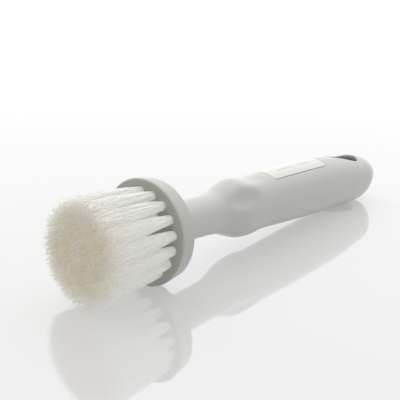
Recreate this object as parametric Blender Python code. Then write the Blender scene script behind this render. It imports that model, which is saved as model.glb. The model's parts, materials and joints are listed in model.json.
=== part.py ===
"""Wheel brush: a hollow moulded grip, a round tuft block plugged into its neck, and folded tufts on flat anchors.

Lengths are in metres and angles in radians. Every piece is built about the brush's own axis: x = 0 is the
front face of the tuft block, +x runs towards the end of the grip, and +z is the label side. An empty then
lays the brush down, so that the rim of the block and the belly of the grip touch z = 0.
"""

import math

import bpy
import bmesh
import numpy as np
from mathutils import Matrix, Vector

FIT_GAP = 0.0003

# Tuft block: a disc that narrows slightly to the rear, with a spigot behind it.
BLOCK_FRONT_RADIUS = 0.0290
BLOCK_REAR_RADIUS = 0.0275
BLOCK_THICKNESS = 0.0109
BLOCK_FRONT_ROUNDING = 0.0013
BLOCK_REAR_ROUNDING = 0.0007
SPIGOT_RADIUS = 0.0088
SPIGOT_LENGTH = 0.0140
SPIGOT_CHAMFER = 0.0010
BLOCK_SIDES = 60

# Rings of tufts: name, how many, radius at the face, inner and outer radius of the band they fill at the
# tips, and how far the first one is turned from the top.
TUFT_RINGS = (
    ("outer", 17, 0.0223, 0.0187, 0.0275, math.radians(5.5)),
    ("middle", 8, 0.0137, 0.0088, 0.0184, math.radians(0)),
    ("inner", 3, 0.0052, 0.0004, 0.0085, math.radians(60)),
)
TUFT_RADIUS = 0.00235
TUFT_HOLE_DEPTH = 0.0080
TUFT_SIDES = 12
BRISTLE_LENGTH = 0.0440
BRISTLE_SAG = 0.0018
FLARE_SHARE = 0.45
FLARE_SCALE = 0.96
BAND_SQUARENESS = 5.0

# Anchors: flat slips that pin the fold of each tuft at the bottom of its hole.
ANCHOR_THICKNESS = 0.0005
ANCHOR_DEPTH = 0.0018
FOLD_THICKNESS = 0.0009

# Grip outline: place, height above and below the axis, and half width. The neck and the swelling are placed
# from the rear of the block, and the tail from the end of the grip.
GRIP_LENGTH = 0.2150
NECK_OUTLINE = (
    (FIT_GAP, 0.0142, 0.0142, 0.0142),
    (0.0020, 0.0128, 0.0128, 0.0128),
    (0.0070, 0.0122, 0.0121, 0.0121),
    (0.0150, 0.0119, 0.0117, 0.0119),
    (0.0300, 0.0116, 0.0115, 0.0116),
    (0.0450, 0.0120, 0.0125, 0.0119),
    (0.0540, 0.0153, 0.0153, 0.0138),
    (0.0620, 0.0177, 0.0180, 0.0156),
    (0.0720, 0.0172, 0.0190, 0.0162),
    (0.0840, 0.0165, 0.0178, 0.0160),
)
TAIL_OUTLINE = (
    (-0.1000, 0.0168, 0.0188, 0.0167),
    (-0.0700, 0.0169, 0.0198, 0.0168),
    (-0.0450, 0.0158, 0.0201, 0.0163),
    (-0.0250, 0.0133, 0.0197, 0.0152),
    (0.0, 0.0106, 0.0184, 0.0134),
)
GRIP_OUTLINE = NECK_OUTLINE + tuple((GRIP_LENGTH + row[0], *row[1:]) for row in TAIL_OUTLINE)
GRIP_END_ROUNDING = 0.0200
GRIP_END_MIDDLE = -0.0022
GRIP_SIDES = 32
GRIP_STEP = 0.0062
GRIP_WALL = 0.0028
SOCKET_CLEARANCE = 0.0010
HOLLOW_STEPS = 12

# Thumb scoop on top and a finger hollow on each side: place along the grip, angle from the top, and size.
SCOOP_PLACE = 0.0740
SCOOP_LENGTH = 0.0110
SCOOP_ANGLE = math.radians(32)
SCOOP_DEPTH = 0.0013
HOLLOW_PLACE = 0.0680
HOLLOW_LENGTH = 0.0080
HOLLOW_ANGLE = math.radians(64)
HOLLOW_SPREAD = math.radians(15)
HOLLOW_DEPTH = 0.0009

# Hanging hole: a teardrop, narrow towards the block, straight through the end of the grip.
HOLE_WIDE_RADIUS = 0.0074
HOLE_WIDE_PLACE = GRIP_LENGTH - 0.0295
HOLE_NARROW_RADIUS = 0.0020
HOLE_SPAN = 0.0190
HOLE_NARROW_PLACE = HOLE_WIDE_PLACE - HOLE_SPAN
HOLE_ARC_STEPS = 12

# Label plate, let into the top of the grip.
LABEL_TO_HOLE = 0.0163
LABEL_LENGTH = 0.0560
LABEL_MIDDLE = HOLE_NARROW_PLACE - HOLE_NARROW_RADIUS - LABEL_TO_HOLE - LABEL_LENGTH / 2
LABEL_HALF_WIDTH = 0.0095
LABEL_CORNER = 0.0022
LABEL_THICKNESS = 0.0006
LABEL_ROWS = 6
LABEL_COLUMNS = 8

MATERIALS = {
    "grip_plastic": ((0.62, 0.62, 0.59, 1.0), 0.0, 0.35),
    "block_plastic": ((0.60, 0.60, 0.56, 1.0), 0.0, 0.40),
    "label_film": ((0.80, 0.80, 0.76, 1.0), 0.0, 0.30),
    "bristle": ((0.86, 0.85, 0.78, 1.0), 0.0, 0.55),
    "anchor_metal": ((0.75, 0.74, 0.70, 1.0), 1.0, 0.30),
}


def clear_scene():
    for obj in list(bpy.data.objects):
        bpy.data.objects.remove(obj, do_unlink=True)


def make_material(name):
    colour, metallic, roughness = MATERIALS[name]
    material = bpy.data.materials.new(name)
    material.use_nodes = True
    shader = material.node_tree.nodes["Principled BSDF"]
    shader.inputs["Base Color"].default_value = colour
    shader.inputs["Metallic"].default_value = metallic
    shader.inputs["Roughness"].default_value = roughness
    return material


def make_object(name, mesh, material, parent):
    obj = bpy.data.objects.new(name, mesh)
    bpy.context.scene.collection.objects.link(obj)
    if material:
        mesh.materials.append(material)
    obj.parent = parent
    return obj


def mesh_from_rings(name, rings):
    """A closed skin through rings of points, with a flat cap on its first and last ring."""
    mesh_build = bmesh.new()
    rows = [[mesh_build.verts.new(point) for point in ring] for ring in rings]
    count = len(rings[0])
    for row, following in zip(rows, rows[1:]):
        for i in range(count):
            j = (i + 1) % count
            mesh_build.faces.new((row[i], row[j], following[j], following[i]))
    mesh_build.faces.new(rows[0])
    mesh_build.faces.new(rows[-1])
    bmesh.ops.recalc_face_normals(mesh_build, faces=mesh_build.faces)
    mesh = bpy.data.meshes.new(name)
    mesh_build.to_mesh(mesh)
    mesh_build.free()
    return mesh


def cut_with(obj, cutter):
    """Takes a helper's shape out of an object. The helper stays in the scene, hidden from renders."""
    cutter.hide_render = True
    cutter.display_type = "WIRE"
    modifier = obj.modifiers.new(cutter.name, "BOOLEAN")
    modifier.operation = "DIFFERENCE"
    modifier.object = cutter
    return modifier


def smooth_shaded(obj, sharp=math.radians(35)):
    obj.data.shade_smooth()
    obj.data.set_sharp_from_angle(angle=sharp)
    return obj


def turned_ring(x, radius, sides):
    """Points on a circle about the axis. A flat lies straight below it, which is what the block rests on."""
    steps = (2 * math.pi * (i + 0.5) / sides for i in range(sides))
    return [Vector((x, -radius * math.sin(a), -radius * math.cos(a))) for a in steps]


# ---- tuft block ----


def tuft_places():
    """(name, ring, direction) of every tuft."""
    for ring in TUFT_RINGS:
        name, count, first = ring[0], ring[1], ring[5]
        for k in range(count):
            yield f"{name}_{k + 1:02d}", ring, first + 2 * math.pi * k / count


def block_profile():
    """(x, radius) of the block from the middle of its front face round to the end of its spigot."""
    front, rear = BLOCK_FRONT_ROUNDING, BLOCK_REAR_ROUNDING
    points = []
    for turn in (0, 30, 60, 90):
        a = math.radians(turn)
        points.append((front * (1 - math.cos(a)), BLOCK_FRONT_RADIUS - front * (1 - math.sin(a))))
    for turn in (0, 45, 90):
        a = math.radians(turn)
        points.append(
            (BLOCK_THICKNESS - rear * (1 - math.sin(a)), BLOCK_REAR_RADIUS - rear * (1 - math.cos(a)))
        )
    points.append((BLOCK_THICKNESS, SPIGOT_RADIUS))
    points.append((BLOCK_THICKNESS + SPIGOT_LENGTH - SPIGOT_CHAMFER, SPIGOT_RADIUS))
    points.append((BLOCK_THICKNESS + SPIGOT_LENGTH, SPIGOT_RADIUS - SPIGOT_CHAMFER))
    return points


def tuft_hole_cutter(parent):
    """One helper holding a short round plug for every tuft hole."""
    cutter_build = bmesh.new()
    reach = TUFT_HOLE_DEPTH + BLOCK_FRONT_ROUNDING
    for _, ring, direction in tuft_places():
        centre = Vector((TUFT_HOLE_DEPTH - reach / 2, *ring_point(ring[2], direction)))
        place = Matrix.Translation(centre) @ Matrix.Rotation(math.pi / 2, 4, "Y")
        bmesh.ops.create_cone(
            cutter_build, cap_ends=True, segments=TUFT_SIDES, depth=reach, matrix=place,
            radius1=TUFT_RADIUS + FIT_GAP, radius2=TUFT_RADIUS + FIT_GAP,
        )
    mesh = bpy.data.meshes.new("tuft_hole_cutter")
    cutter_build.to_mesh(mesh)
    cutter_build.free()
    return make_object("tuft_hole_cutter", mesh, None, parent)


def ring_point(radius, direction):
    """(y, z) at a radius, with direction 0 straight up and growing towards +y."""
    return radius * math.sin(direction), radius * math.cos(direction)


def make_tuft_block(material, parent):
    rings = [turned_ring(x, radius, BLOCK_SIDES) for x, radius in block_profile()]
    block = make_object("tuft_block", mesh_from_rings("tuft_block", rings), material, parent)
    cut_with(block, tuft_hole_cutter(parent))
    return smooth_shaded(block)


# ---- tufts and anchors ----


def round_point(centre, radius, angle, direction):
    """A point on a tuft's round section: angle 0 is outwards from the axis, a quarter turn is sideways."""
    out = centre + radius * math.cos(angle)
    side = radius * math.sin(angle)
    y, z = ring_point(out, direction)
    return y + side * math.cos(direction), z - side * math.sin(direction)


def band_point(ring, angle, direction, scale):
    """A point on a tuft's spread section: its share of the ring's band at the tips, with rounded corners."""
    _, count, _, inner, outer, _ = ring
    c, s = math.cos(angle), math.sin(angle)
    reach = (abs(c) ** BAND_SQUARENESS + abs(s) ** BAND_SQUARENESS) ** (-1 / BAND_SQUARENESS)
    middle, half = (inner + outer) / 2, (outer - inner - FIT_GAP) / 2
    radius = (middle + half * c * reach) * scale
    clearance = FIT_GAP / 2 / math.sin(math.pi / count)
    swing = math.pi / count * s * reach
    y, z = ring_point(radius, direction + swing)
    away_y, away_z = ring_point(clearance, direction)
    return y + away_y, z + away_z


def tuft_section(ring, direction, share, spread, scale):
    """One closed section of a tuft at a share of its free length, from round (spread 0) to its band (1)."""
    x = -BRISTLE_LENGTH * share
    sag = BRISTLE_SAG * max(share, 0.0) ** 2
    points = []
    for i in range(TUFT_SIDES):
        angle = 2 * math.pi * (i + 0.5) / TUFT_SIDES
        root = round_point(ring[2], TUFT_RADIUS, angle, direction)
        tip = band_point(ring, angle, direction, scale)
        y, z = (a + (b - a) * spread for a, b in zip(root, tip))
        points.append(Vector((x, y, z - sag)))
    return points


def anchor_centre(ring, direction):
    x = TUFT_HOLE_DEPTH - FIT_GAP - FOLD_THICKNESS - FIT_GAP - ANCHOR_DEPTH / 2
    return Vector((x, *ring_point(ring[2], direction)))


def slip_mesh(name, ring, direction, depth, thickness, width):
    """A flat slip across a tuft's hole, edge on to the hole's mouth and tangent to its ring."""
    slip_build = bmesh.new()
    size = Matrix.Diagonal((depth, width, thickness, 1.0))
    place = Matrix.Translation(anchor_centre(ring, direction)) @ Matrix.Rotation(-direction, 4, "X")
    bmesh.ops.create_cube(slip_build, size=1.0, matrix=place @ size)
    mesh = bpy.data.meshes.new(name)
    slip_build.to_mesh(mesh)
    slip_build.free()
    return mesh


def make_tuft(label, ring, direction, material, parent):
    fold = -(TUFT_HOLE_DEPTH - FIT_GAP) / BRISTLE_LENGTH
    sections = [
        tuft_section(ring, direction, fold, 0.0, 1.0),
        tuft_section(ring, direction, 0.0, 0.0, 1.0),
        tuft_section(ring, direction, FLARE_SHARE, 1.0, FLARE_SCALE),
        tuft_section(ring, direction, 1.0, 1.0, 1.0),
    ]
    name = f"tuft_{label}"
    tuft = make_object(name, mesh_from_rings(name, sections), material, parent)
    window = slip_mesh(
        f"window_{label}", ring, direction,
        ANCHOR_DEPTH + 2 * FIT_GAP, ANCHOR_THICKNESS + 2 * FIT_GAP, 4 * TUFT_RADIUS,
    )
    cut_with(tuft, make_object(f"window_{label}", window, None, parent))
    return smooth_shaded(tuft)


def make_anchor(label, ring, direction, material, parent):
    name = f"anchor_{label}"
    mesh = slip_mesh(name, ring, direction, ANCHOR_DEPTH, ANCHOR_THICKNESS, 2 * TUFT_RADIUS)
    return make_object(name, mesh, material, parent)


# ---- grip ----


def outline_at(x):
    """Height above the axis, height below it and half width at a place along the grip, on a smooth curve."""
    rows = GRIP_OUTLINE
    x = min(max(x, rows[0][0]), rows[-1][0])
    i = max(k for k in range(len(rows) - 1) if rows[k][0] <= x)
    before, start, end, after = rows[max(i - 1, 0)], rows[i], rows[i + 1], rows[min(i + 2, len(rows) - 1)]
    span = end[0] - start[0]
    t = (x - start[0]) / span
    values = []
    for column in (1, 2, 3):
        lead = (end[column] - before[column]) / (end[0] - before[0]) * span
        tail = (after[column] - start[column]) / (after[0] - start[0]) * span
        values.append(
            (2 * t**3 - 3 * t**2 + 1) * start[column] + (t**3 - 2 * t**2 + t) * lead
            + (3 * t**2 - 2 * t**3) * end[column] + (t**3 - t**2) * tail
        )
    return values


def end_shrink(x):
    """How much of its section the grip keeps near its rounded end."""
    into = (x - (GRIP_LENGTH - GRIP_END_ROUNDING)) / GRIP_END_ROUNDING
    return math.sqrt(max(1 - max(into, 0.0) ** 2, 0.0))


def hand_hollows(x, angle):
    """Depth of the thumb scoop and the finger hollows at an angle from the top."""
    scoop = SCOOP_DEPTH * math.exp(-(((x - SCOOP_PLACE) / SCOOP_LENGTH) ** 2) - (angle / SCOOP_ANGLE) ** 4)
    off = (abs(angle) - HOLLOW_ANGLE) / HOLLOW_SPREAD
    hollow = HOLLOW_DEPTH * math.exp(-(((x - HOLLOW_PLACE) / HOLLOW_LENGTH) ** 2) - off**2)
    return scoop + hollow


def grip_point(x, angle, inset=0.0):
    """A point on the grip's surface, angle 0 on top and growing towards +y, moved inwards by inset."""
    above, below, side = outline_at(x)
    height = above if math.cos(angle) > 0 else below
    depth = hand_hollows(x, angle) + inset
    shrink = end_shrink(x)
    y = (side - depth) * math.sin(angle) * shrink
    z = (height - depth) * math.cos(angle) * shrink + GRIP_END_MIDDLE * (1 - shrink)
    return Vector((BLOCK_THICKNESS + x, y, z))


def grip_ring(x, inset=0.0):
    return [grip_point(x, 2 * math.pi * (i + 0.5) / GRIP_SIDES, inset) for i in range(GRIP_SIDES)]


def socket_ring(x):
    """A round ring of the socket that takes the block's spigot, in step with the grip's own rings."""
    radius = SPIGOT_RADIUS + FIT_GAP
    angles = (2 * math.pi * (i + 0.5) / GRIP_SIDES for i in range(GRIP_SIDES))
    return [Vector((BLOCK_THICKNESS + x, *ring_point(radius, angle))) for angle in angles]


def grip_stations():
    """Places of the outer sections: the neck's own, then even steps, then closer ones round the end."""
    neck = [row[0] for row in NECK_OUTLINE[:3]]
    round_start = GRIP_LENGTH - GRIP_END_ROUNDING
    steps = round((round_start - neck[-1]) / GRIP_STEP)
    body = [neck[-1] + (round_start - neck[-1]) * k / steps for k in range(1, steps + 1)]
    end = [round_start + GRIP_END_ROUNDING * math.sin(math.radians(a)) for a in (20, 38, 54, 67, 77, 84, 88)]
    return neck + body + end


def make_grip_shell(material, parent):
    """The grip's outside and its hollow in one skin, joined by the flat rim round the mouth of the socket."""
    outer = [grip_ring(x) for x in reversed(grip_stations())]
    socket_end = SPIGOT_LENGTH + SOCKET_CLEARANCE
    hollow_end = HOLE_NARROW_PLACE - HOLE_NARROW_RADIUS - GRIP_WALL
    step = (hollow_end - socket_end) / HOLLOW_STEPS
    hollow = [grip_ring(socket_end + step * k, GRIP_WALL) for k in range(1, HOLLOW_STEPS + 1)]
    rings = outer + [socket_ring(FIT_GAP), socket_ring(socket_end)] + hollow
    return make_object("handle", mesh_from_rings("handle", rings), material, parent)


def teardrop():
    """(x, y) outline of the hanging hole: two arcs joined by the lines that touch both."""
    lean = math.asin((HOLE_WIDE_RADIUS - HOLE_NARROW_RADIUS) / HOLE_SPAN)
    wide_end, narrow_end = math.pi / 2 + lean, 3 * math.pi / 2 - lean
    points = []
    for place, radius, start, end in (
        (HOLE_WIDE_PLACE, HOLE_WIDE_RADIUS, -wide_end, wide_end),
        (HOLE_NARROW_PLACE, HOLE_NARROW_RADIUS, wide_end, narrow_end),
    ):
        for i in range(HOLE_ARC_STEPS):
            a = start + (end - start) * (i + 0.5) / HOLE_ARC_STEPS
            points.append((place + radius * math.cos(a), radius * math.sin(a)))
    return points


def hanging_hole_cutter(parent):
    reach = 2 * max(row[2] for row in GRIP_OUTLINE)
    rings = [[Vector((BLOCK_THICKNESS + x, y, z)) for x, y in teardrop()] for z in (-reach, reach)]
    return make_object("hanging_hole_cutter", mesh_from_rings("hanging_hole_cutter", rings), None, parent)


def label_half_width(x, grow):
    """The label's half width at a distance from its middle, less at its rounded corners."""
    corner = LABEL_CORNER + grow
    into = max(abs(x) - (LABEL_LENGTH / 2 + grow - corner), 0.0)
    return LABEL_HALF_WIDTH + grow - corner + math.sqrt(max(corner**2 - into**2, 0.0))


def label_patch(name, grow, top_depth, bottom_depth):
    """A rounded rectangle that follows the grip's top, between two depths under its surface."""
    half = LABEL_LENGTH / 2 + grow
    corner = LABEL_CORNER + grow
    flat = half - corner
    columns = [flat * (2 * k / LABEL_COLUMNS - 1) for k in range(LABEL_COLUMNS + 1)]
    rounding = [flat + corner * math.sin(math.radians(a)) for a in (30, 60, 90)]
    columns = [-x for x in reversed(rounding)] + columns + rounding
    mean_radius = outline_at(LABEL_MIDDLE)[0]
    slab_build = bmesh.new()
    layers = [
        [
            [
                slab_build.verts.new(
                    grip_point(
                        LABEL_MIDDLE + x,
                        label_half_width(x, grow) / mean_radius * (2 * j / LABEL_ROWS - 1),
                        depth,
                    )
                )
                for j in range(LABEL_ROWS + 1)
            ]
            for x in columns
        ]
        for depth in (top_depth, bottom_depth)
    ]
    top, bottom = layers
    last = len(columns) - 1
    for i in range(last):
        for layer in layers:
            for j in range(LABEL_ROWS):
                slab_build.faces.new((layer[i][j], layer[i][j + 1], layer[i + 1][j + 1], layer[i + 1][j]))
        for j in (0, LABEL_ROWS):
            slab_build.faces.new((top[i][j], top[i + 1][j], bottom[i + 1][j], bottom[i][j]))
    for i in (0, last):
        for j in range(LABEL_ROWS):
            slab_build.faces.new((top[i][j], top[i][j + 1], bottom[i][j + 1], bottom[i][j]))
    bmesh.ops.recalc_face_normals(slab_build, faces=slab_build.faces)
    mesh = bpy.data.meshes.new(name)
    slab_build.to_mesh(mesh)
    slab_build.free()
    return mesh


def make_grip(material, parent):
    grip = make_grip_shell(material, parent)
    cut_with(grip, hanging_hole_cutter(parent))
    recess = label_patch("label_recess_cutter", FIT_GAP, -LABEL_CORNER, LABEL_THICKNESS + FIT_GAP)
    cut_with(grip, make_object("label_recess_cutter", recess, None, parent))
    return smooth_shaded(grip)


def make_label(material, parent):
    mesh = label_patch("label_plate", 0.0, 0.0, LABEL_THICKNESS)
    return smooth_shaded(make_object("label_plate", mesh, material, parent))


# ---- the whole brush ----


def lowest_after(points, tilt):
    """Height of the lowest of some points after the axis has been tipped by tilt, the grip's end going down."""
    turned = points[:, 2] * math.cos(tilt) - points[:, 0] * math.sin(tilt)
    return turned.min()


def base_points(obj):
    points = np.empty(len(obj.data.vertices) * 3)
    obj.data.vertices.foreach_get("co", points)
    return points.reshape(-1, 3)


def lay_down(brush, block, grip, tufts):
    """Tips the brush until the block's rim and the grip's belly are level, lifts both to z = 0, and centres it."""
    rim, belly = base_points(block), base_points(grip)
    low, high = 0.0, math.radians(15)
    for _ in range(60):
        tilt = (low + high) / 2
        if lowest_after(belly, tilt) > lowest_after(rim, tilt):
            low = tilt
        else:
            high = tilt
    turn = Matrix.Rotation(tilt, 4, "Y")
    lengthways = np.array(turn)[0, :3]
    front = min((base_points(tuft) @ lengthways).min() for tuft in tufts)
    rear = (belly @ lengthways).max()
    brush.matrix_world = Matrix.Translation((-(front + rear) / 2, 0, -lowest_after(rim, tilt))) @ turn


def main():
    clear_scene()
    materials = {name: make_material(name) for name in MATERIALS}
    brush = bpy.data.objects.new("wheel_brush", None)
    bpy.context.scene.collection.objects.link(brush)
    block = make_tuft_block(materials["block_plastic"], brush)
    grip = make_grip(materials["grip_plastic"], brush)
    make_label(materials["label_film"], brush)
    tufts = []
    for label, ring, direction in tuft_places():
        tufts.append(make_tuft(label, ring, direction, materials["bristle"], brush))
        make_anchor(label, ring, direction, materials["anchor_metal"], brush)
    lay_down(brush, block, grip, tufts)


main()
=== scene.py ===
"""Wheel brush: a pale moulded grip with a scoop and a hanging hole, a disc of bristle tufts, a glossy floor.

Every piece is shaped about the brush's own axis: x = 0 at the front face of the tuft block, +x towards the
end of the grip, +z the label side, in metres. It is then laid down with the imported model.
"""

import json
import math

import bmesh
import bpy
import numpy as np
from mathutils import Matrix, Vector


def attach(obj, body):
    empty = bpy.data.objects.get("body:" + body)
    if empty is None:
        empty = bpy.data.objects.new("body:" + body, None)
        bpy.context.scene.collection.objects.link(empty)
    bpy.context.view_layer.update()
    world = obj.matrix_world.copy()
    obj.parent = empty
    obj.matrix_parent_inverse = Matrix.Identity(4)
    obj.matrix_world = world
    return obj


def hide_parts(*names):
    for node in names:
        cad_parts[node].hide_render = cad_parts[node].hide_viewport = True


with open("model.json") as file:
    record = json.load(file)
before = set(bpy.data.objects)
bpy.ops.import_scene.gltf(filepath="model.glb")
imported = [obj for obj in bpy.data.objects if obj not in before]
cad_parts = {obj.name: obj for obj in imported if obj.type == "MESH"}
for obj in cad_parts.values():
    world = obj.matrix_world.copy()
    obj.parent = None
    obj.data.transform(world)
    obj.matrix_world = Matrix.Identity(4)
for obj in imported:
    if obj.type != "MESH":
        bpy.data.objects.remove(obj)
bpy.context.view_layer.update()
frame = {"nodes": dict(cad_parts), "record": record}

FIT_GAP = 0.0003

# Tuft block
BLOCK_FRONT_RADIUS = 0.0290
BLOCK_REAR_RADIUS = 0.0275
BLOCK_THICKNESS = 0.0109
BLOCK_FRONT_ROUNDING = 0.0013
BLOCK_REAR_ROUNDING = 0.0007
BLOCK_SIDES = 160
SPIGOT_RADIUS = 0.0088
SPIGOT_LENGTH = 0.0140
SPIGOT_CHAMFER = 0.0010
BLOCK_FRONT_FLAT_RADIUS = 0.0272
BLOCK_REAR_FLAT_RADIUS = 0.0262

# Tufts: name, how many, radius at the face, inner and outer radius of the band at the tips, first direction.
TUFT_RINGS = (
    ("outer", 17, 0.0223, 0.0187, 0.0275, math.radians(5.5)),
    ("middle", 8, 0.0137, 0.0088, 0.0184, math.radians(0)),
    ("inner", 3, 0.0052, 0.0004, 0.0085, math.radians(60)),
)
TUFT_RADIUS = 0.00235
TUFT_HOLE_DEPTH = 0.0080
TUFT_HOLE_SIDES = 20
TUFT_HOLE_SINK = 0.0004
TUFT_FIELD_RADIUS = 0.0262
BRISTLE_LENGTH = 0.0440
BRISTLE_SAG = 0.0018
BRISTLE_THICKNESS = 0.00028
BRISTLE_FRAY = 0.0018
BRISTLE_BURIED = 0.0030
BRISTLE_MARGIN = 0.0003
BRISTLE_POINTS = 7
BRISTLES_IN_TUFT = {"outer": 430, "middle": 460, "inner": 360}

# Grip outline: place from the rear of the block, height above and below the axis, half width.
GRIP_LENGTH = 0.2150
GRIP_OUTLINE = (
    (FIT_GAP, 0.0142, 0.0142, 0.0142),
    (0.0020, 0.0128, 0.0128, 0.0128),
    (0.0070, 0.0122, 0.0121, 0.0121),
    (0.0150, 0.0119, 0.0117, 0.0119),
    (0.0300, 0.0116, 0.0115, 0.0116),
    (0.0450, 0.0120, 0.0125, 0.0119),
    (0.0540, 0.0153, 0.0153, 0.0138),
    (0.0620, 0.0177, 0.0180, 0.0156),
    (0.0720, 0.0172, 0.0190, 0.0162),
    (0.0840, 0.0165, 0.0178, 0.0160),
    (GRIP_LENGTH - 0.1000, 0.0168, 0.0188, 0.0167),
    (GRIP_LENGTH - 0.0700, 0.0169, 0.0198, 0.0168),
    (GRIP_LENGTH - 0.0450, 0.0158, 0.0201, 0.0163),
    (GRIP_LENGTH - 0.0250, 0.0133, 0.0197, 0.0152),
    (GRIP_LENGTH, 0.0106, 0.0184, 0.0134),
)
GRIP_END_ROUNDING = 0.0200
GRIP_END_MIDDLE = -0.0022
SOCKET_CLEARANCE = 0.0010
GRIP_SIDES = 112
GRIP_STEP = 0.0016

# Thumb scoop and finger hollows
SCOOP_PLACE, SCOOP_LENGTH, SCOOP_ANGLE, SCOOP_DEPTH = 0.0740, 0.0110, math.radians(29), 0.0016
HOLLOW_PLACE, HOLLOW_LENGTH, HOLLOW_DEPTH = 0.0605, 0.0095, 0.0024
HOLLOW_ANGLE, HOLLOW_SPREAD = math.radians(60), math.radians(19)

# Hanging hole and its rounded rim
HOLE_WIDE_RADIUS = 0.0074
HOLE_WIDE_PLACE = GRIP_LENGTH - 0.0295
HOLE_NARROW_RADIUS = 0.0020
HOLE_SPAN = 0.0190
HOLE_NARROW_PLACE = HOLE_WIDE_PLACE - HOLE_SPAN
HOLE_LEAN = math.asin((HOLE_WIDE_RADIUS - HOLE_NARROW_RADIUS) / HOLE_SPAN)
HOLE_RIM = 0.0011
HOLE_WORN = 0.0008
HOLE_PLUG_DEPTHS = (0.0080, 0.0050, 0.0030)
HOLE_PLUG_REACH = 0.03
# How far down the hanging hole its painted shade takes to reach full strength
HOLE_SHADE_DEPTH = 0.004

# Label plate
LABEL_LENGTH = 0.0560
LABEL_TO_HOLE = 0.0163
LABEL_MIDDLE = HOLE_NARROW_PLACE - HOLE_NARROW_RADIUS - LABEL_TO_HOLE - LABEL_LENGTH / 2
LABEL_HALF_WIDTH = 0.0095
LABEL_CORNER = 0.0022
LABEL_THICKNESS = 0.0006
LABEL_EDGE = 0.0002
LABEL_SHARES = (0.97, 0.92, 0.84, 0.74, 0.62, 0.48, 0.33, 0.18, 0.05)
LABEL_BARS = ((-0.0092, 0.0082), (0.0104, 0.0058))

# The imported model's hanging hole: facets in half of its wide end, and the seat's height from the axis
SEAT_FACETS = 12
SEAT_HEIGHT = -0.002

# How strong the painted shade on the block is: its face between the tufts, and the walls of their holes
FACE_SHADE = 0.27
TUFT_HOLE_SHADE = 0.6

# How strongly the hairline scuffs show in the plastic
SCUFFS = 0.03

# Colours, linear
GRIP_COLOUR = (0.58, 0.585, 0.553, 1.0)
BLOCK_COLOUR = (0.51, 0.51, 0.47, 1.0)
LABEL_COLOUR = (0.74, 0.74, 0.70, 1.0)
PRINT_COLOUR = (0.30, 0.30, 0.29, 1.0)
# Painted shade: the dark brown that the hanging hole's walls and the block's face and tuft holes are blended
# towards
PAINTED_SHADE_COLOUR = (0.06, 0.052, 0.036, 1.0)
ANCHOR_COLOUR = (0.66, 0.65, 0.61, 1.0)
FLOOR_COLOUR = (0.30, 0.30, 0.30, 1.0)
FLOOR_GLOW = (1.0, 1.0, 0.995, 1.0)
DULL_MILK, CLEAR_MILK = (0.93, 0.93, 0.90, 1.0), (0.985, 0.985, 0.97, 1.0)
DEEP_STAIN, PALE_STAIN = (0.62, 0.53, 0.34, 1.0), (0.84, 0.78, 0.62, 1.0)
AGED_MILK = (0.94, 0.92, 0.84, 1.0)

# Floor, light and camera
FLOOR_HALF_WIDTH = 8.0
FLOOR_HEIGHT = -0.0002
LIGHT_FROM = (0.72, 0.63, 0.30)
SOFTBOX_PLACE, SOFTBOX_SIZE, SOFTBOX_POWER = (0.5, 0.9, 1.3), (1.6, 1.2), 6.0
CAMERA_PLACE, CAMERA_LENS = (-0.38173, -0.29350, 0.18373), 75.95
CAMERA_BEARING, CAMERA_DOWN, CAMERA_ROLL = math.radians(41.03), math.radians(18.23), math.radians(1.276)


def brush_placement():
    """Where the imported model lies: its tip and place, read from the seat in the hanging hole's far end."""
    seat = next(mount for mount in frame["record"]["mounts"] if mount["name"] == "hanger_seat")
    half_facet = (math.pi / 2 + HOLE_LEAN) / SEAT_FACETS
    seat_place = BLOCK_THICKNESS + HOLE_WIDE_PLACE + HOLE_WIDE_RADIUS * math.cos(half_facet)
    own_point = Vector((seat_place, 0, SEAT_HEIGHT))
    tip = math.atan2(seat["axis"][2], -seat["axis"][0])
    return Matrix.Translation(seat["pos_m"]) @ Matrix.Rotation(tip, 4, "Y") @ Matrix.Translation(-own_point)


LAID_DOWN = brush_placement()


# ---- small tools for nodes ----


class Tree:
    """Adds nodes to a tree and joins them as they are made. Inputs are sockets or plain values."""

    def __init__(self, tree):
        self.tree = tree

    def node(self, kind, inputs=(), out=0, **settings):
        node = self.tree.nodes.new(kind)
        for name, value in settings.items():
            setattr(node, name, value)
        items = inputs.items() if isinstance(inputs, dict) else enumerate(inputs)
        for key, value in items:
            if isinstance(value, bpy.types.NodeSocket):
                self.tree.links.new(value, node.inputs[key])
            elif value is not None:
                node.inputs[key].default_value = value
        return node if out is None else node.outputs[out]

    def math(self, operation, *inputs):
        return self.node("ShaderNodeMath", inputs, operation=operation)

    def vector(self, operation, *inputs, out=0):
        return self.node("ShaderNodeVectorMath", inputs, out=out, operation=operation)

    def xyz(self, x, y, z):
        return self.node("ShaderNodeCombineXYZ", (x, y, z))

    def split(self, vector):
        return self.node("ShaderNodeSeparateXYZ", (vector,), out=None).outputs

    def ramp(self, value, low, high, start=0.0, end=1.0):
        """start at low and end at high, eased between them."""
        inputs = {"Value": value, 1: low, 2: high, 3: start, 4: end}
        return self.node("ShaderNodeMapRange", inputs, interpolation_type="SMOOTHSTEP")

    def blend(self, share, first, second):
        """first at share 0 and second at share 1, as colours."""
        return self.node("ShaderNodeMix", {0: share, 6: first, 7: second}, out=2, data_type="RGBA")

    def attribute(self, name, out=2):
        """A mesh attribute's value; out 1 gives a vector."""
        return self.node("ShaderNodeAttribute", attribute_name=name, out=out)

    def place(self):
        """Object coordinates."""
        return self.node("ShaderNodeTexCoord", out=3)

    def join(self, value, socket):
        self.tree.links.new(value, socket)

    def noise(self, place, scale, detail=3.0, roughness=0.5, stretch=None):
        if stretch:
            place = self.vector("MULTIPLY", place, stretch)
        return self.node(
            "ShaderNodeTexNoise", {"Vector": place, "Scale": scale, "Detail": detail, "Roughness": roughness}
        )


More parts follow.
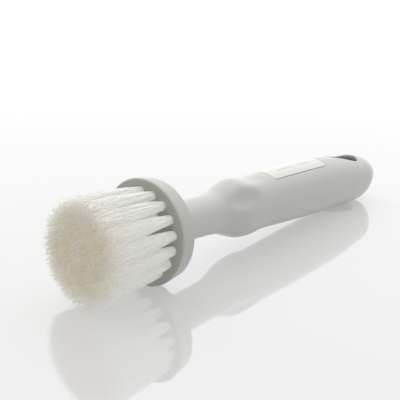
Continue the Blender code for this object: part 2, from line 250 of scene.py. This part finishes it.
def new_group(name, kind, inputs, outputs):
    """A node group with its sockets, and a Tree to fill it. inputs are (name, type, default)."""
    group = bpy.data.node_groups.new(name, kind)
    for socket_name, socket_type, default in inputs:
        kind_name = "NodeSocket" + socket_type
        socket = group.interface.new_socket(socket_name, in_out="INPUT", socket_type=kind_name)
        if default is not None:
            socket.default_value = default
    for socket_name, socket_type in outputs:
        group.interface.new_socket(socket_name, in_out="OUTPUT", socket_type="NodeSocket" + socket_type)
    tree = Tree(group)
    given = tree.node("NodeGroupInput", out=None).outputs
    result = tree.node("NodeGroupOutput", out=None).inputs
    return group, tree, given, result


# ---- shader groups ----


def make_moulded_skin_group():
    """The skin of moulded plastic: faint clouding of its colour, a fine grain, and uneven gloss."""
    group, tree, given, result = new_group(
        "moulded_skin", "ShaderNodeTree",
        (
            ("Color", "Color", (0.6, 0.6, 0.57, 1.0)),
            ("Clouding", "Float", 0.03),
            ("Gloss", "Float", 0.3),
            ("Grain Size", "Float", 0.0006),
        ),
        (("Color", "Color"), ("Roughness", "Float"), ("Height", "Float")),
    )
    place = tree.place()
    clouds = tree.noise(place, 38.0, 4.0)
    fine = tree.noise(place, tree.math("DIVIDE", 1.0, given["Grain Size"]), 2.0)
    shade = tree.math("MULTIPLY_ADD", tree.math("SUBTRACT", clouds, 0.5), given["Clouding"], 1.0)
    tree.join(tree.vector("MULTIPLY", given["Color"], tree.xyz(shade, shade, shade)), result["Color"])
    rubbed = tree.ramp(tree.noise(place, 22.0, 5.0, 0.6, (0.35, 1.0, 1.0)), 0.45, 0.75, 0.0, 0.07)
    tree.join(tree.math("ADD", given["Gloss"], rubbed), result["Roughness"])
    tree.join(fine, result["Height"])
    return group


def make_hand_wear_group():
    """Hairline scuffs along a part, as a mask."""
    group, tree, given, result = new_group(
        "hairline_scuffs", "ShaderNodeTree",
        (("Amount", "Float", 0.3), ("Fineness", "Float", 2600.0)),
        (("Mask", "Float"),),
    )
    place = tree.place()
    lines = tree.noise(place, given["Fineness"], 3.0, 0.6, (0.06, 1.0, 1.0))
    patches = tree.ramp(tree.noise(place, 45.0, 2.0), 0.5, 0.68)
    marks = tree.math("MULTIPLY", tree.ramp(lines, 0.60, 0.72), patches)
    tree.join(tree.math("MULTIPLY", marks, given["Amount"]), result["Mask"])
    return group


def make_surface(name):
    """A material with its Principled shader, ready for nodes."""
    surface = bpy.data.materials.new(name)
    surface.use_nodes = True
    return surface, Tree(surface.node_tree), surface.node_tree.nodes["Principled BSDF"]


def connect(tree, shader, **sockets):
    """Joins values to the shader's sockets, named with _ for a space."""
    for name, value in sockets.items():
        tree.join(value, shader.inputs[name.replace("_", " ")])


def set_values(shader, **sockets):
    """Sets plain values on the shader's sockets, named in the same way."""
    for name, value in sockets.items():
        shader.inputs[name.replace("_", " ")].default_value = value


def make_moulded_plastic(name, skin, scuffs, colour, clouding, gloss, grain):
    """Satin plastic, darkened by painted shade where its mesh's stored shade strength says so."""
    surface, tree, shader = make_surface(name)
    body = add_group(tree, skin, Color=colour, Clouding=clouding, Gloss=gloss, Grain_Size=grain)
    worn = add_group(tree, scuffs, Amount=SCUFFS)
    rough = tree.math("MULTIPLY_ADD", worn.outputs["Mask"], 0.25, body.outputs["Roughness"])
    grained = {"Strength": 0.03, "Distance": 0.00005, "Height": body.outputs["Height"]}
    bump = tree.node("ShaderNodeBump", grained)
    # Painted shade, blended in by the mesh's stored strength
    painted_shade = tree.math("MULTIPLY", tree.attribute("painted_shade"), 0.95)
    shown = tree.blend(painted_shade, body.outputs["Color"], PAINTED_SHADE_COLOUR)
    connect(tree, shader, Base_Color=shown, Roughness=rough, Normal=bump)
    set_values(shader, IOR=1.5)
    return surface


def add_group(tree, group, **values):
    """A shader group placed in a material, with its own values."""
    node = tree.tree.nodes.new("ShaderNodeGroup")
    node.node_tree = group
    set_values(node, **values)
    return node


def make_label_face(skin):
    """Smooth film, with two plain broken bars where such a label carries its print."""
    surface, tree, shader = make_surface("label_film")
    body = add_group(tree, skin, Color=LABEL_COLOUR, Clouding=0.02, Gloss=0.22, Grain_Size=0.0009)
    along, across, _ = tree.split(tree.attribute("label_place", out=1))
    bars = None
    for middle, half in LABEL_BARS:
        off = tree.math("ABSOLUTE", tree.math("SUBTRACT", along, middle))
        lengthways = tree.ramp(off, half, half + 0.0003, 1.0, 0.0)
        bars = lengthways if bars is None else tree.math("MAXIMUM", bars, lengthways)
    row = tree.ramp(tree.math("ABSOLUTE", tree.math("ADD", across, 0.0022)), 0.0007, 0.0009, 1.0, 0.0)
    broken = tree.ramp(tree.noise(tree.xyz(along, 0.0, 0.0), 900.0, 1.0), 0.42, 0.52)
    printed = tree.math("MULTIPLY", tree.math("MULTIPLY", bars, row), broken)
    colour = tree.blend(tree.math("MULTIPLY", printed, 0.55), body.outputs["Color"], PRINT_COLOUR)
    connect(tree, shader, Base_Color=colour, Roughness=body.outputs["Roughness"])
    return surface


def make_bristle_nylon():
    """Nylon filaments: milky white, and stained cream and brown towards their cut ends, with a faint painted
    glow.
    """
    surface, tree, shader = make_surface("bristle")
    along = tree.attribute("along")
    strand = tree.attribute("strand")
    place = tree.place()
    uneven = tree.math("MULTIPLY_ADD", tree.math("SUBTRACT", strand, 0.5), 0.10, along)
    patches = tree.noise(place, 90.0, 3.0, 0.6)
    inwards = tree.attribute("inwards")
    soaked = tree.math("MULTIPLY", tree.ramp(patches, 0.36, 0.60, 0.40, 1.0), inwards)
    stained = tree.math("MULTIPLY", tree.ramp(uneven, 0.90, 1.01), soaked)
    milk = tree.blend(strand, DULL_MILK, CLEAR_MILK)
    stain = tree.blend(tree.ramp(patches, 0.35, 0.65), DEEP_STAIN, PALE_STAIN)
    aged = tree.blend(tree.ramp(along, 0.45, 0.95, 0.0, 0.30), milk, AGED_MILK)
    colour = tree.blend(stained, aged, stain)
    connect(tree, shader, Base_Color=colour, Emission_Color=colour)
    set_values(shader, Roughness=0.42, IOR=1.53)
    set_values(shader, Subsurface_Weight=0.7, Subsurface_Radius=(1.0, 0.97, 0.88), Subsurface_Scale=0.0008)
    set_values(shader, Emission_Strength=0.095)  # painted glow that stands in for light passing through the filaments
    return surface


def make_anchor_metal():
    surface, tree, shader = make_surface("anchor_metal")
    brushed = tree.noise(tree.place(), 2200.0, 2.0, 0.5, (1.0, 1.0, 0.1))
    connect(tree, shader, Roughness=tree.ramp(brushed, 0.3, 0.7, 0.22, 0.40))
    set_values(shader, Base_Color=ANCHOR_COLOUR, Metallic=1.0)
    return surface


# ---- small tools for meshes ----


def finished_object(name, mesh, surface, node, smooth=math.radians(35)):
    """A piece laid down with the brush: at the origin, its place in its mesh, riding the brush."""
    mesh.transform(LAID_DOWN)
    mesh.materials.clear()
    mesh.materials.append(surface)
    mesh.shade_smooth()
    if smooth:
        mesh.set_sharp_from_angle(angle=smooth)
    piece = bpy.data.objects.new(name, mesh)
    bpy.context.scene.collection.objects.link(piece)
    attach(piece, "root")
    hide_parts(node)
    return piece


def skins_through(name, stacks):
    """A mesh of closed skins. Each stack is rings of as many points each, with a flat cap at each end."""
    skin = bmesh.new()
    for rings in stacks:
        rows = [[skin.verts.new(point) for point in ring] for ring in rings]
        count = len(rows[0])
        for row, following in zip(rows, rows[1:]):
            for i in range(count):
                j = (i + 1) % count
                skin.faces.new((row[i], row[j], following[j], following[i]))
        skin.faces.new(rows[0])
        skin.faces.new(rows[-1])
    bmesh.ops.recalc_face_normals(skin, faces=skin.faces)
    mesh = bpy.data.meshes.new(name)
    skin.to_mesh(mesh)
    skin.free()
    return mesh


def skin_through(name, rings):
    return skins_through(name, [rings])


def evaluated_mesh(holder):
    """The mesh an object shows with its modifiers."""
    return bpy.data.meshes.new_from_object(holder.evaluated_get(bpy.context.evaluated_depsgraph_get()))


def store_shade_strength(mesh, shade_strength_at):
    """Stores how strong the painted shade is at each point of the mesh, from 0 to 1."""
    shade = mesh.attributes.new("painted_shade", "FLOAT", "POINT")
    shade.data.foreach_set("value", [shade_strength_at(vertex.co) for vertex in mesh.vertices])


def carved(name, mesh, cutters):
    """The mesh with the cutters' shapes taken out of it."""
    work = bpy.data.objects.new(name + "_blank", mesh)
    bpy.context.scene.collection.objects.link(work)
    tools = []
    for cutter in cutters:
        tool = bpy.data.objects.new(cutter.name, cutter)
        bpy.context.scene.collection.objects.link(tool)
        tools.append(tool)
        cut = work.modifiers.new(cutter.name, "BOOLEAN")
        cut.operation = "DIFFERENCE"
        cut.object = tool
    result = evaluated_mesh(work)
    for unused in [work, *tools]:
        bpy.data.objects.remove(unused, do_unlink=True)
    return result


def ring_point(radius, direction):
    """(y, z) at a radius, with direction 0 straight up and growing towards +y."""
    return radius * math.sin(direction), radius * math.cos(direction)


# ---- grip ----


def outline_at(x):
    """Height above the axis, height below it and half width at a place along the grip, on a smooth curve."""
    rows = GRIP_OUTLINE
    x = min(max(x, rows[0][0]), rows[-1][0])
    i = max(k for k in range(len(rows) - 1) if rows[k][0] <= x)
    before, after = rows[max(i - 1, 0)], rows[min(i + 2, len(rows) - 1)]
    start, end = rows[i], rows[i + 1]
    span = end[0] - start[0]
    t = (x - start[0]) / span
    values = []
    for column in (1, 2, 3):
        lead = (end[column] - before[column]) / (end[0] - before[0]) * span
        tail = (after[column] - start[column]) / (after[0] - start[0]) * span
        values.append(
            (2 * t**3 - 3 * t**2 + 1) * start[column] + (t**3 - 2 * t**2 + t) * lead
            + (3 * t**2 - 2 * t**3) * end[column] + (t**3 - t**2) * tail
        )
    return values


def end_shrink(x):
    """How much of its section the grip keeps near its rounded end."""
    into = (x - (GRIP_LENGTH - GRIP_END_ROUNDING)) / GRIP_END_ROUNDING
    return math.sqrt(max(1 - max(into, 0.0) ** 2, 0.0))


def hand_hollows(x, angle):
    """Depth of the thumb scoop and the finger hollows at an angle from the top."""
    scoop = SCOOP_DEPTH * math.exp(-(((x - SCOOP_PLACE) / SCOOP_LENGTH) ** 2) - (angle / SCOOP_ANGLE) ** 4)
    off = math.hypot((x - HOLLOW_PLACE) / HOLLOW_LENGTH, (abs(angle) - HOLLOW_ANGLE) / HOLLOW_SPREAD)
    hollow = HOLLOW_DEPTH * math.exp(-(off**3))
    return scoop + hollow


def grip_point(x, angle, inset=0.0):
    """A point on the grip's surface, angle 0 on top and growing towards +y, moved inwards by inset."""
    above, below, side = outline_at(x)
    height = above if math.cos(angle) > 0 else below
    depth = hand_hollows(x, angle) + inset
    shrink = end_shrink(x)
    y = (side - depth) * math.sin(angle) * shrink
    z = (height - depth) * math.cos(angle) * shrink + GRIP_END_MIDDLE * (1 - shrink)
    return Vector((BLOCK_THICKNESS + x, y, z))


def grip_ring(x):
    """One section of the grip, with its angles running from -180 to 180 degrees."""
    return [grip_point(x, 2 * math.pi * (i + 0.5) / GRIP_SIDES - math.pi) for i in range(GRIP_SIDES)]


def socket_ring(x, radius):
    angles = (2 * math.pi * (i + 0.5) / GRIP_SIDES - math.pi for i in range(GRIP_SIDES))
    return [Vector((BLOCK_THICKNESS + x, *ring_point(radius, angle))) for angle in angles]


def grip_blank():
    """The grip's outside, with the socket for the block's spigot in its front."""
    neck = [FIT_GAP, 0.0007, 0.0013, 0.0020, 0.0030, 0.0042, 0.0056, 0.0070]
    round_start = GRIP_LENGTH - GRIP_END_ROUNDING
    steps = round((round_start - neck[-1]) / GRIP_STEP)
    body = [neck[-1] + (round_start - neck[-1]) * k / steps for k in range(1, steps + 1)]
    end = [round_start + GRIP_END_ROUNDING * math.sin(math.radians(a)) for a in np.arange(5.0, 89.0, 3.5)]
    rings = [grip_ring(x) for x in reversed(neck + body + end)]
    socket = SPIGOT_RADIUS + FIT_GAP
    rings += [socket_ring(FIT_GAP, socket), socket_ring(SPIGOT_LENGTH + SOCKET_CLEARANCE, socket)]
    return skin_through("grip_blank", rings)


def teardrop(grow=0.0, steps=26):
    """(x, y) outline of the hanging hole: two arcs joined by their tangents."""
    wide_end, narrow_end = math.pi / 2 + HOLE_LEAN, 3 * math.pi / 2 - HOLE_LEAN
    points = []
    for place, radius, start, end, count in (
        (HOLE_WIDE_PLACE, HOLE_WIDE_RADIUS, -wide_end, wide_end, steps),
        (HOLE_NARROW_PLACE, HOLE_NARROW_RADIUS, wide_end, narrow_end, steps // 2),
    ):
        for i in range(count + 1):
            a = start + (end - start) * i / count
            points.append((place + (radius + grow) * math.cos(a), (radius + grow) * math.sin(a)))
    return points


def skin_height(x, y, top):
    """Height of the grip's top or bottom surface over a point."""
    above, below, side = outline_at(x)
    shrink = end_shrink(x)
    share = math.sqrt(max(1 - (y / (side * shrink)) ** 2, 0.0))
    height = above if top else -below
    return height * share * shrink + GRIP_END_MIDDLE * (1 - shrink)


def hanging_hole_plug():
    """The hole's shape, flared at both mouths so that it leaves a rounded rim."""
    outlines = [(HOLE_WORN, depth) for depth in HOLE_PLUG_DEPTHS]
    for turn in (0, 20, 38, 55, 70, 80):
        a = math.radians(turn)
        outlines.append((HOLE_WORN + HOLE_RIM * (1 - math.cos(a)), HOLE_RIM * (1 - math.sin(a))))
    outlines.append((HOLE_WORN + HOLE_RIM * 1.35, -0.0006))
    halves = []
    for top in (True, False):
        up = 1 if top else -1
        rows = [
            [Vector((BLOCK_THICKNESS + x, y, skin_height(x, y, top) - up * depth)) for x, y in teardrop(grow)]
            for grow, depth in outlines
        ]
        rows.append([Vector((p.x, p.y, up * HOLE_PLUG_REACH)) for p in rows[-1]])
        halves.append(rows)
    return skin_through("hanging_hole_plug", halves[1][::-1] + halves[0])


def hole_depth(point):
    """How far down the hanging hole a point of its wall lies, from 0 at the rim to 1 deep inside, as the
    strength of its painted shade.
    """
    x, y = point.x - BLOCK_THICKNESS, point.y
    along = min(max((HOLE_WIDE_PLACE - x) / HOLE_SPAN, 0.0), 1.0)
    radius = HOLE_WIDE_RADIUS + (HOLE_NARROW_RADIUS - HOLE_WIDE_RADIUS) * along
    off = math.hypot(x - (HOLE_WIDE_PLACE - HOLE_SPAN * along), y)
    if off > radius + HOLE_WORN + 0.0006:
        return 0.0
    below = min(skin_height(x, y, True) - point.z, point.z - skin_height(x, y, False))
    return min(max((below - HOLE_RIM * 0.6) / HOLE_SHADE_DEPTH, 0.0), 1.0)


def label_outline(grow, steps=7, runs=30):
    """(along, across) points round the label from its middle, with rounded corners."""
    corner = LABEL_CORNER + grow
    long_side, short_side = LABEL_LENGTH / 2 + grow - corner, LABEL_HALF_WIDTH + grow - corner
    arcs = []
    for sx, sy, first in ((1, 1, 0), (-1, 1, 90), (-1, -1, 180), (1, -1, 270)):
        turns = [math.radians(first + 90 * i / steps) for i in range(steps + 1)]
        arcs.append([
            (sx * long_side + corner * math.cos(a), sy * short_side + corner * math.sin(a)) for a in turns
        ])
    points = []
    for k, arc in enumerate(arcs):
        points += arc
        (x, y), (next_x, next_y) = arc[-1], arcs[(k + 1) % 4][0]
        count = runs if k % 2 == 0 else runs // 3
        points += [(x + (next_x - x) * i / count, y + (next_y - y) * i / count) for i in range(1, count)]
    return points


def label_loop(grow, depth, share=1.0):
    """The label's outline on the grip's surface, at a depth, drawn in towards its middle by share."""
    mean_radius = outline_at(LABEL_MIDDLE)[0]
    return [
        grip_point(LABEL_MIDDLE + along * share, across * share / mean_radius, depth)
        for along, across in label_outline(grow)
    ]


def label_recess_plug():
    """What the label's recess leaves out of the grip, flared a little at its mouth."""
    floor, mouth, above = LABEL_THICKNESS + FIT_GAP, FIT_GAP + 0.0004, -0.0020
    rings = [label_loop(FIT_GAP, floor, share) for share in reversed(LABEL_SHARES)]
    for grow, depth in (
        (FIT_GAP, floor), (FIT_GAP, 0.00030), (FIT_GAP + 0.00025, 0.00004), (mouth, -0.0004), (mouth, above)
    ):
        rings.append(label_loop(grow, depth))
    rings += [label_loop(mouth, above, share) for share in LABEL_SHARES]
    return skin_through("label_recess_plug", rings)


def make_grip(surface):
    mesh = carved("grip", grip_blank(), [hanging_hole_plug(), label_recess_plug()])
    # Painted shade deepening down the hanging hole's walls
    store_shade_strength(mesh, hole_depth)
    return finished_object("grip", mesh, surface, "handle")


def make_label(surface):
    """The label plate, with softened edges. It carries its own flat coordinates for its print."""
    rings, flat = [], []
    for grow, depth, share in (
        *((0.0, LABEL_THICKNESS, s) for s in reversed(LABEL_SHARES)),
        (0.0, LABEL_THICKNESS, 1.0),
        (0.0, LABEL_EDGE, 1.0),
        (-LABEL_EDGE * 0.3, LABEL_EDGE * 0.3, 1.0),
        (-LABEL_EDGE, 0.0, 1.0),
        *((-LABEL_EDGE, 0.0, s) for s in LABEL_SHARES),
    ):
        rings.append(label_loop(grow, depth, share))
        flat += [(along * share, across * share, 0.0) for along, across in label_outline(grow)]
    mesh = skin_through("label_plate_face", rings)
    place = mesh.attributes.new("label_place", "FLOAT_VECTOR", "POINT")
    place.data.foreach_set("vector", np.array(flat, dtype=np.float32).ravel())
    return finished_object("label_plate_face", mesh, surface, "label_plate")


# ---- tuft block ----


def turned_ring(x, radius):
    steps = (2 * math.pi * (i + 0.5) / BLOCK_SIDES for i in range(BLOCK_SIDES))
    return [Vector((x, -radius * math.sin(a), -radius * math.cos(a))) for a in steps]


def block_profile():
    """(x, radius) from the middle of the front face round to the end of the spigot."""
    front, rear = BLOCK_FRONT_ROUNDING, BLOCK_REAR_ROUNDING
    points = [(0.0, BLOCK_FRONT_FLAT_RADIUS)]
    for a in np.radians(np.arange(0, 91, 15)):
        points.append((front * (1 - math.cos(a)), BLOCK_FRONT_RADIUS - front * (1 - math.sin(a))))
    for k in range(1, 5):
        t = k / 5
        points.append((
            front + (BLOCK_THICKNESS - rear - front) * t,
            BLOCK_FRONT_RADIUS + (BLOCK_REAR_RADIUS - BLOCK_FRONT_RADIUS) * t,
        ))
    for a in np.radians(np.arange(0, 91, 22.5)):
        x = BLOCK_THICKNESS - rear * (1 - math.sin(a))
        points.append((x, BLOCK_REAR_RADIUS - rear * (1 - math.cos(a))))
    end = BLOCK_THICKNESS + SPIGOT_LENGTH
    points += [(BLOCK_THICKNESS, BLOCK_REAR_FLAT_RADIUS), (BLOCK_THICKNESS, SPIGOT_RADIUS)]
    points += [(end - SPIGOT_CHAMFER, SPIGOT_RADIUS), (end, SPIGOT_RADIUS - SPIGOT_CHAMFER)]
    return points


def tuft_places():
    """(name, ring, direction) of every tuft."""
    for ring in TUFT_RINGS:
        kind, count, _, _, _, first = ring
        for k in range(count):
            yield f"{kind}_{k + 1:02d}", ring, first + 2 * math.pi * k / count


def tuft_hole_plugs():
    """A round plug for every tuft hole, with a small countersink at its mouth."""
    radius = TUFT_RADIUS + FIT_GAP
    profile = (
        (-0.0010, radius + TUFT_HOLE_SINK),
        (0.0, radius + 0.00035),
        (TUFT_HOLE_SINK, radius),
        (TUFT_HOLE_DEPTH, radius),
    )
    angles = np.linspace(0, 2 * math.pi, TUFT_HOLE_SIDES, endpoint=False)
    plugs = []
    for _, (_, _, face_radius, *_), direction in tuft_places():
        centre_y, centre_z = ring_point(face_radius, direction)
        plugs.append([
            [(x, centre_y + r * math.cos(a), centre_z + r * math.sin(a)) for a in angles] for x, r in profile
        ])
    return skins_through("tuft_hole_plugs", plugs)


def block_shade_strength(point):
    """Painted shade on the face between the tufts, and stronger painted shade on the walls of their holes."""
    if point.x < TUFT_HOLE_SINK:
        return FACE_SHADE
    deep_enough = point.x < TUFT_HOLE_DEPTH + TUFT_HOLE_SINK
    return TUFT_HOLE_SHADE if deep_enough and math.hypot(point.y, point.z) < TUFT_FIELD_RADIUS else 0.0


def make_block(surface):
    blank = skin_through("block_blank", [turned_ring(x, radius) for x, radius in block_profile()])
    mesh = carved("block", blank, [tuft_hole_plugs()])
    # Painted shade on the face and in the tuft holes
    store_shade_strength(mesh, block_shade_strength)
    return finished_object("block", mesh, surface, "tuft_block")


# ---- tufts ----


def make_tuft_tree():
    """Filaments of one tuft: round where they leave the hole, spread to its share of the ring at the tips."""
    group, tree, given, result = new_group(
        "bristle_tuft", "GeometryNodeTree",
        (
            ("Geometry", "Geometry", None),
            ("Bristles", "Int", 300),
            ("Seed", "Int", 1),
            ("Direction", "Float", 0.0),
            ("Ring Radius", "Float", 0.02),
            ("Root Radius", "Float", 0.0022),
            ("Band Inner", "Float", 0.018),
            ("Band Outer", "Float", 0.027),
            ("Half Turn", "Float", 0.2),
            ("Length", "Float", 0.044),
            ("Buried", "Float", 0.0015),
            ("Sag", "Float", 0.0018),
            ("Fray", "Float", 0.0008),
            ("Thickness", "Float", 0.0003),
            ("Surface", "Material", None),
        ),
        (("Geometry", "Geometry"),),
    )
    m = tree.math
    count = m("MULTIPLY", given["Bristles"], float(BRISTLE_POINTS))
    points = tree.node("GeometryNodePoints", {"Count": count})
    index = tree.node("GeometryNodeInputIndex")
    strand = m("FLOOR", m("DIVIDE", m("ADD", index, 0.5), float(BRISTLE_POINTS)))
    step = m("SUBTRACT", index, m("MULTIPLY", strand, float(BRISTLE_POINTS)))
    along = m("DIVIDE", step, BRISTLE_POINTS - 1.0)

    def chance(offset, low=0.0, high=1.0):
        """A random number for each filament, its own for each offset."""
        seed = m("ADD", given["Seed"], float(offset))
        node = tree.node("FunctionNodeRandomValue", out=None, data_type="FLOAT")
        node.inputs[2].default_value, node.inputs[3].default_value = low, high
        tree.join(strand, node.inputs["ID"])
        tree.join(seed, node.inputs["Seed"])
        return node.outputs[1]

    # Where the filament stands in its tuft, as a point of the unit disc
    reach = m("SQRT", chance(1))
    turn = chance(2, 0.0, 2 * math.pi)
    out, side = m("MULTIPLY", reach, m("COSINE", turn)), m("MULTIPLY", reach, m("SINE", turn))
    sine, cosine = m("SINE", given["Direction"]), m("COSINE", given["Direction"])

    # Root, in the round hole
    root_out = m("MULTIPLY_ADD", out, given["Root Radius"], given["Ring Radius"])
    root_side = m("MULTIPLY", side, given["Root Radius"])
    root_y = m("ADD", m("MULTIPLY", root_out, sine), m("MULTIPLY", root_side, cosine))
    root_z = m("SUBTRACT", m("MULTIPLY", root_out, cosine), m("MULTIPLY", root_side, sine))

    # Tip, in the tuft's share of its ring, drawn out into the corners
    fourths = [m("POWER", m("ABSOLUTE", m(wave, turn)), 4.0) for wave in ("COSINE", "SINE")]
    corner = m("POWER", m("ADD", *fourths), -0.25)
    half_band = m("MULTIPLY", m("SUBTRACT", given["Band Outer"], given["Band Inner"]), 0.5)
    middle = m("MULTIPLY", m("ADD", given["Band Outer"], given["Band Inner"]), 0.5)
    tip_radius = m("MULTIPLY_ADD", m("MULTIPLY", out, corner), half_band, middle)
    tip_radius = m("ADD", tip_radius, m("MULTIPLY", chance(3, -0.5, 0.5), given["Fray"]))
    tip_turn = m("MULTIPLY_ADD", m("MULTIPLY", side, corner), given["Half Turn"], given["Direction"])
    tip_turn = m("ADD", tip_turn, m("MULTIPLY", chance(4, -0.5, 0.5), m("DIVIDE", given["Fray"], middle)))
    tip_y = m("MULTIPLY", tip_radius, m("SINE", tip_turn))
    tip_z = m("MULTIPLY", tip_radius, m("COSINE", tip_turn))

    # The way from root to tip: straight out of the hole, then fanning out, with a stray bend of its own
    shorter = m("MULTIPLY", m("POWER", chance(5), 1.6), 0.14)
    length = m("MULTIPLY", given["Length"], m("SUBTRACT", 1.0, shorter))
    whole = m("ADD", length, given["Buried"])
    x = m("SUBTRACT", given["Buried"], m("MULTIPLY", whole, along))
    fan = m("SUBTRACT", m("MULTIPLY", along, 1.62), m("MULTIPLY", m("POWER", along, 2.0), 0.62))
    bend = m("MULTIPLY", m("SINE", m("MULTIPLY", along, math.pi)), given["Fray"])
    y = m("MULTIPLY_ADD", m("SUBTRACT", tip_y, root_y), fan, root_y)
    z = m("MULTIPLY_ADD", m("SUBTRACT", tip_z, root_z), fan, root_z)
    y = m("ADD", y, m("MULTIPLY", bend, chance(6, -0.15, 0.15)))
    z = m("ADD", z, m("MULTIPLY", bend, chance(7, -0.15, 0.15)))
    flick = m("MULTIPLY", m("POWER", along, 3.0), m("MULTIPLY", given["Fray"], 0.7))
    y = m("MULTIPLY_ADD", flick, chance(8, -1.0, 1.0), y)
    z = m("MULTIPLY_ADD", flick, chance(9, -1.0, 1.0), z)
    z = m("SUBTRACT", z, m("MULTIPLY", given["Sag"], m("POWER", along, 2.0)))
    placed = tree.node("GeometryNodeSetPosition", {"Geometry": points, "Position": tree.xyz(x, y, z)})

    inwards = tree.ramp(tip_radius, 0.0135, 0.0270, 1.0, 0.22)
    for name, value in (("along", along), ("strand", chance(10)), ("inwards", inwards)):
        placed = tree.node(
            "GeometryNodeStoreNamedAttribute", {"Geometry": placed, "Name": name, "Value": value},
            data_type="FLOAT", domain="POINT",
        )
    curves = tree.node(
        "GeometryNodePointsToCurves", {"Points": placed, "Curve Group ID": strand, "Weight": along}
    )
    profile = tree.node("GeometryNodeCurvePrimitiveCircle", {"Resolution": 3, "Radius": 0.5})
    taper = m("MULTIPLY", given["Thickness"], m("SUBTRACT", 1.06, m("MULTIPLY", along, 0.18)))
    swept = {"Curve": curves, "Profile Curve": profile, "Scale": taper, "Fill Caps": True}
    rods = tree.node("GeometryNodeCurveToMesh", swept)
    real = tree.node("GeometryNodeRealizeInstances", (rods,))
    real = tree.node("GeometryNodeSetMaterial", {"Geometry": real, "Material": given["Surface"]})
    tree.join(real, result["Geometry"])
    return group


def set_inputs(modifier, group, values):
    """Sets a geometry-nodes modifier's inputs by their names."""
    for item in group.interface.items_tree:
        if item.item_type == "SOCKET" and item.in_out == "INPUT" and item.name in values:
            modifier[item.identifier] = values[item.name]


def make_tuft(name, ring, direction, seed, group, surface):
    kind, count, radius, inner, outer, _ = ring
    holder = bpy.data.objects.new("bristles_" + name, bpy.data.meshes.new("bristles_" + name))
    bpy.context.scene.collection.objects.link(holder)
    modifier = holder.modifiers.new("bristle_tuft", "NODES")
    modifier.node_group = group
    set_inputs(modifier, group, {
        "Bristles": BRISTLES_IN_TUFT[kind],
        "Seed": 40 * seed + 7,
        "Direction": direction,
        "Ring Radius": radius,
        "Root Radius": TUFT_RADIUS - BRISTLE_THICKNESS / 2,
        "Band Inner": inner,
        "Band Outer": outer - BRISTLE_MARGIN,
        "Half Turn": math.pi / count,
        "Length": BRISTLE_LENGTH - BRISTLE_MARGIN,
        "Buried": BRISTLE_BURIED,
        "Sag": BRISTLE_SAG,
        "Fray": BRISTLE_FRAY,
        "Thickness": BRISTLE_THICKNESS,
        "Surface": surface,
    })
    mesh = evaluated_mesh(holder)
    bpy.data.objects.remove(holder, do_unlink=True)
    mesh.name = "bristles_" + name
    return finished_object("bristles_" + name, mesh, surface, "tuft_" + name, smooth=None)


# ---- floor, light and camera ----


def make_floor():
    """A broad glossy pale sheet under the brush."""
    surface, _, shader = make_surface("gloss_sheet")
    set_values(shader, Base_Color=FLOOR_COLOUR, Roughness=0.04, IOR=2.50)
    set_values(shader, Emission_Color=FLOOR_GLOW, Emission_Strength=0.33)
    mesh = bpy.data.meshes.new("floor")
    size = FLOOR_HALF_WIDTH
    corners = [(-size, -size, 0), (size, -size, 0), (size, size, 0), (-size, size, 0)]
    mesh.from_pydata(corners, [], [(0, 1, 2, 3)])
    mesh.materials.append(surface)
    floor = bpy.data.objects.new("floor", mesh)
    floor.location.z = FLOOR_HEIGHT
    bpy.context.scene.collection.objects.link(floor)


def make_softbox():
    """A broad lamp above and behind, aimed at the brush and left out of the floor's reflections."""
    data = bpy.data.lights.new("top_softbox", "AREA")
    data.shape = "RECTANGLE"
    data.size, data.size_y = SOFTBOX_SIZE
    data.energy = SOFTBOX_POWER
    softbox = bpy.data.objects.new("top_softbox", data)
    softbox.location = SOFTBOX_PLACE
    softbox.rotation_euler = (-Vector(SOFTBOX_PLACE)).to_track_quat("-Z", "Y").to_euler()
    softbox.visible_glossy = False
    bpy.context.scene.collection.objects.link(softbox)


def make_studio():
    """A white room, brighter on the far side and overhead, with one softbox."""
    world = bpy.data.worlds.new("studio")
    world.use_nodes = True
    tree = Tree(world.node_tree)
    background = world.node_tree.nodes["Background"]
    way = tree.node("ShaderNodeTexCoord", out=0)
    facing = tree.vector("DOT_PRODUCT", way, LIGHT_FROM, out=1)
    overhead = tree.ramp(tree.split(way)[2], 0.05, 0.85, 0.0, 0.25)
    strength = tree.math("ADD", tree.ramp(facing, -0.2, 0.75, 0.52, 1.15), overhead)
    tree.join(strength, background.inputs["Strength"])
    set_values(background, Color=(1.0, 1.0, 1.0, 1.0))
    bpy.context.scene.world = world
    make_softbox()
    bpy.context.scene.cycles.max_bounces = 32
    bpy.context.scene.cycles.diffuse_bounces = 24
    bpy.context.scene.view_settings.view_transform = "Standard"
    bpy.context.scene.view_settings.exposure = 0.0


def make_camera():
    data = bpy.data.cameras.new("camera")
    data.lens = CAMERA_LENS
    data.sensor_width = 36.0
    data.clip_start = 0.01
    data.clip_end = 100.0
    camera = bpy.data.objects.new("camera", data)
    level = math.cos(CAMERA_DOWN)
    ahead, aside = level * math.cos(CAMERA_BEARING), level * math.sin(CAMERA_BEARING)
    look = Vector((ahead, aside, -math.sin(CAMERA_DOWN)))
    turn = look.to_track_quat("-Z", "Y").to_matrix().to_4x4()
    camera.matrix_world = Matrix.Translation(CAMERA_PLACE) @ turn @ Matrix.Rotation(CAMERA_ROLL, 4, "Z")
    bpy.context.scene.collection.objects.link(camera)
    bpy.context.scene.camera = camera


def main():
    make_camera()
    make_studio()
    make_floor()
    groups = (make_moulded_skin_group(), make_hand_wear_group())
    grip_plastic = make_moulded_plastic("grip_plastic", *groups, GRIP_COLOUR, 0.03, 0.20, 0.0006)
    block_plastic = make_moulded_plastic("block_plastic", *groups, BLOCK_COLOUR, 0.04, 0.30, 0.0007)
    make_grip(grip_plastic)
    make_label(make_label_face(groups[0]))
    make_block(block_plastic)
    nylon = make_bristle_nylon()
    tuft_tree = make_tuft_tree()
    for seed, (name, ring, direction) in enumerate(tuft_places()):
        make_tuft(name, ring, direction, seed, tuft_tree, nylon)
    metal = make_anchor_metal()
    for name, node in frame["nodes"].items():
        if name.startswith("anchor_"):
            node.data.materials.clear()
            node.data.materials.append(metal)


main()
